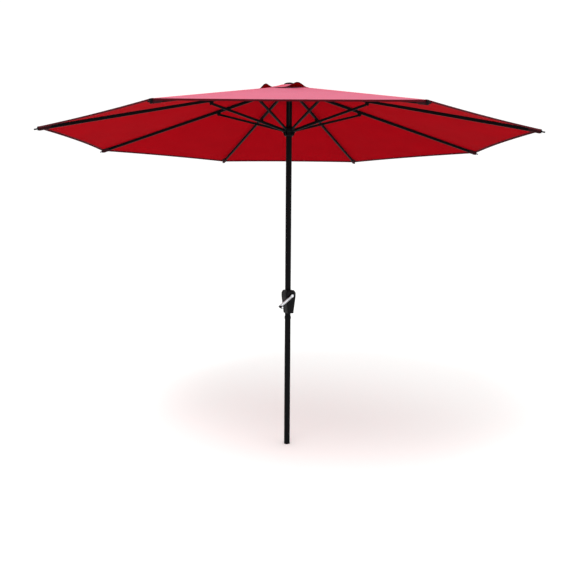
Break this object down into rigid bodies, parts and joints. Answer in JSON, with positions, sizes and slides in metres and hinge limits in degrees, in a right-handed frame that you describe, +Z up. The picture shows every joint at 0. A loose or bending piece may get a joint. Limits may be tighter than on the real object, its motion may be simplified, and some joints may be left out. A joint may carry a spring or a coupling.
{
  "type": "patio umbrella",
  "caption": "Open octagonal market umbrella on a slim pole, with a wind vent, folding ribs and struts, a sliding runner and a crank lift.",
  "frame": {"origin": "middle of the pole's foot, at its bottom end", "axes": "+Z up the pole's axis, -Y towards the front between two ribs, over the cord and beside the crank"},
  "size_m": [2.808, 2.808, 2.3885],
  "materials": {
    "canopy_fabric": "satin",
    "pole_steel": "satin",
    "frame_steel": "satin",
    "black_plastic": "satin",
    "housing_plastic": "satin",
    "grey_plastic": "satin",
    "bare_steel": "satin",
    "bright_steel": "polished",
    "cord": "matte"
  },
  "bodies": {
    "pole": {"lower_pole": "pole_steel", "upper_pole": "pole_steel", "pole_coupler": "bare_steel", "pole_ferrule": "black_plastic", "foot_plug": "black_plastic", "top_hub": "black_plastic", "hub_pins": "bare_steel", "pulley_pin": "bare_steel", "top_cap": "grey_plastic", "lift_cord": "cord", "crank_housing_front": "housing_plastic", "crank_housing_rear": "housing_plastic", "housing_screws": "bare_steel", "brake_spring": "bare_steel", "vent_canopy": "canopy_fabric"},
    "pulley": {"pulley": "grey_plastic"},
    "cord_tail": {"lift_cord_tail": "cord"},
    "crank": {"crank_shaft": "bare_steel", "cord_drum": "black_plastic", "cord_windings": "cord", "crank_arm": "bright_steel", "knob_pin": "bright_steel"},
    "knob": {"crank_knob": "grey_plastic"},
    "runner": {"runner": "black_plastic", "runner_pins": "bare_steel"},
    "rib_1": {"rib_1": "frame_steel", "rib_fittings_1": "black_plastic", "canopy_panel_1": "canopy_fabric"},
    "strut_1": {"strut_1": "frame_steel"},
    "rib_2": {"rib_2": "frame_steel", "rib_fittings_2": "black_plastic", "canopy_panel_2": "canopy_fabric"},
    "strut_2": {"strut_2": "frame_steel"},
    "rib_3": {"rib_3": "frame_steel", "rib_fittings_3": "black_plastic", "canopy_panel_3": "canopy_fabric"},
    "strut_3": {"strut_3": "frame_steel"},
    "rib_4": {"rib_4": "frame_steel", "rib_fittings_4": "black_plastic", "canopy_panel_4": "canopy_fabric"},
    "strut_4": {"strut_4": "frame_steel"},
    "rib_5": {"rib_5": "frame_steel", "rib_fittings_5": "black_plastic", "canopy_panel_5": "canopy_fabric"},
    "strut_5": {"strut_5": "frame_steel"},
    "rib_6": {"rib_6": "frame_steel", "rib_fittings_6": "black_plastic", "canopy_panel_6": "canopy_fabric"},
    "strut_6": {"strut_6": "frame_steel"},
    "rib_7": {"rib_7": "frame_steel", "rib_fittings_7": "black_plastic", "canopy_panel_7": "canopy_fabric"},
    "strut_7": {"strut_7": "frame_steel"},
    "rib_8": {"rib_8": "frame_steel", "rib_fittings_8": "black_plastic", "canopy_panel_8": "canopy_fabric"},
    "strut_8": {"strut_8": "frame_steel"}
  },
  "joints": [
    {"name": "canopy_fold", "type": "hinge", "parent": "pole", "child": "rib_1", "pos_m": [0.01454, -0.03511, 2.351], "axis": [0.9239, 0.3827, 0], "range_deg": [0, 72], "deforming": ["canopy_panel_1", "canopy_panel_2", "canopy_panel_3", "canopy_panel_4", "canopy_panel_5", "canopy_panel_6", "canopy_panel_7", "canopy_panel_8", "vent_canopy"]},
    {"name": "strut_hinge_1", "type": "hinge", "parent": "rib_1", "child": "strut_1", "pos_m": [0.19553, -0.47205, 2.22136], "axis": [0.9239, 0.3827, 0], "range_deg": [-144, 0]},
    {"name": "rib_hinge_2", "type": "hinge", "parent": "pole", "child": "rib_2", "pos_m": [0.03511, -0.01454, 2.351], "axis": [0.3827, 0.9239, 0], "range_deg": [0, 72]},
    {"name": "strut_hinge_2", "type": "hinge", "parent": "rib_2", "child": "strut_2", "pos_m": [0.47205, -0.19553, 2.22136], "axis": [0.3827, 0.9239, 0], "range_deg": [-144, 0]},
    {"name": "rib_hinge_3", "type": "hinge", "parent": "pole", "child": "rib_3", "pos_m": [0.03511, 0.01454, 2.351], "axis": [-0.3827, 0.9239, 0], "range_deg": [0, 72]},
    {"name": "strut_hinge_3", "type": "hinge", "parent": "rib_3", "child": "strut_3", "pos_m": [0.47205, 0.19553, 2.22136], "axis": [-0.3827, 0.9239, 0], "range_deg": [-144, 0]},
    {"name": "rib_hinge_4", "type": "hinge", "parent": "pole", "child": "rib_4", "pos_m": [0.01454, 0.03511, 2.351], "axis": [-0.9239, 0.3827, 0], "range_deg": [0, 72]},
    {"name": "strut_hinge_4", "type": "hinge", "parent": "rib_4", "child": "strut_4", "pos_m": [0.19553, 0.47205, 2.22136], "axis": [-0.9239, 0.3827, 0], "range_deg": [-144, 0]},
    {"name": "rib_hinge_5", "type": "hinge", "parent": "pole", "child": "rib_5", "pos_m": [-0.01454, 0.03511, 2.351], "axis": [-0.9239, -0.3827, 0], "range_deg": [0, 72]},
    {"name": "strut_hinge_5", "type": "hinge", "parent": "rib_5", "child": "strut_5", "pos_m": [-0.19553, 0.47205, 2.22136], "axis": [-0.9239, -0.3827, 0], "range_deg": [-144, 0]},
    {"name": "rib_hinge_6", "type": "hinge", "parent": "pole", "child": "rib_6", "pos_m": [-0.03511, 0.01454, 2.351], "axis": [-0.3827, -0.9239, 0], "range_deg": [0, 72]},
    {"name": "strut_hinge_6", "type": "hinge", "parent": "rib_6", "child": "strut_6", "pos_m": [-0.47205, 0.19553, 2.22136], "axis": [-0.3827, -0.9239, 0], "range_deg": [-144, 0]},
    {"name": "rib_hinge_7", "type": "hinge", "parent": "pole", "child": "rib_7", "pos_m": [-0.03511, -0.01454, 2.351], "axis": [0.3827, -0.9239, 0], "range_deg": [0, 72]},
    {"name": "strut_hinge_7", "type": "hinge", "parent": "rib_7", "child": "strut_7", "pos_m": [-0.47205, -0.19553, 2.22136], "axis": [0.3827, -0.9239, 0], "range_deg": [-144, 0]},
    {"name": "rib_hinge_8", "type": "hinge", "parent": "pole", "child": "rib_8", "pos_m": [-0.01454, -0.03511, 2.351], "axis": [0.9239, -0.3827, 0], "range_deg": [0, 72]},
    {"name": "strut_hinge_8", "type": "hinge", "parent": "rib_8", "child": "strut_8", "pos_m": [-0.19553, -0.47205, 2.22136], "axis": [0.9239, -0.3827, 0], "range_deg": [-144, 0]},
    {"name": "runner_hinge", "type": "hinge", "parent": "strut_1", "child": "runner", "pos_m": [0.01454, -0.03511, 2.09172], "axis": [0.9239, 0.3827, 0], "range_deg": [0, 72]},
    {"name": "crank_turn", "type": "hinge", "parent": "pole", "child": "crank", "pos_m": [0, 0, 1.024], "axis": [0.5, -0.866, 0], "range_deg": [0, 3240]},
    {"name": "knob_spin", "type": "hinge", "parent": "crank", "child": "knob", "pos_m": [-0.04507, -0.11262, 0.95969], "axis": [0.5, -0.866, 0], "continuous": true},
    {"name": "pulley_turn", "type": "hinge", "parent": "pole", "child": "pulley", "pos_m": [0, -0.019, 2.368], "axis": [1, 0, 0], "range_deg": [0, 4346]},
    {"name": "cord_pay_out", "type": "slide", "parent": "pole", "child": "cord_tail", "axis": [0, 0, -1], "range_m": [0, 0.72043], "deforming": ["lift_cord_tail"]}
  ],
  "couplings": [
    {"joint": "strut_hinge_1", "follows": "canopy_fold", "ratio": -2},
    {"joint": "rib_hinge_2", "follows": "canopy_fold", "ratio": 1},
    {"joint": "strut_hinge_2", "follows": "canopy_fold", "ratio": -2},
    {"joint": "rib_hinge_3", "follows": "canopy_fold", "ratio": 1},
    {"joint": "strut_hinge_3", "follows": "canopy_fold", "ratio": -2},
    {"joint": "rib_hinge_4", "follows": "canopy_fold", "ratio": 1},
    {"joint": "strut_hinge_4", "follows": "canopy_fold", "ratio": -2},
    {"joint": "rib_hinge_5", "follows": "canopy_fold", "ratio": 1},
    {"joint": "strut_hinge_5", "follows": "canopy_fold", "ratio": -2},
    {"joint": "rib_hinge_6", "follows": "canopy_fold", "ratio": 1},
    {"joint": "strut_hinge_6", "follows": "canopy_fold", "ratio": -2},
    {"joint": "rib_hinge_7", "follows": "canopy_fold", "ratio": 1},
    {"joint": "strut_hinge_7", "follows": "canopy_fold", "ratio": -2},
    {"joint": "rib_hinge_8", "follows": "canopy_fold", "ratio": 1},
    {"joint": "strut_hinge_8", "follows": "canopy_fold", "ratio": -2},
    {"joint": "runner_hinge", "follows": "canopy_fold", "ratio": 1},
    {"joint": "crank_turn", "follows": "canopy_fold", "ratio": 45},
    {"joint": "pulley_turn", "follows": "canopy_fold", "ratio": 60.347},
    {"joint": "cord_pay_out", "follows": "canopy_fold", "m_per_rad": 0.5733}
  ]
}
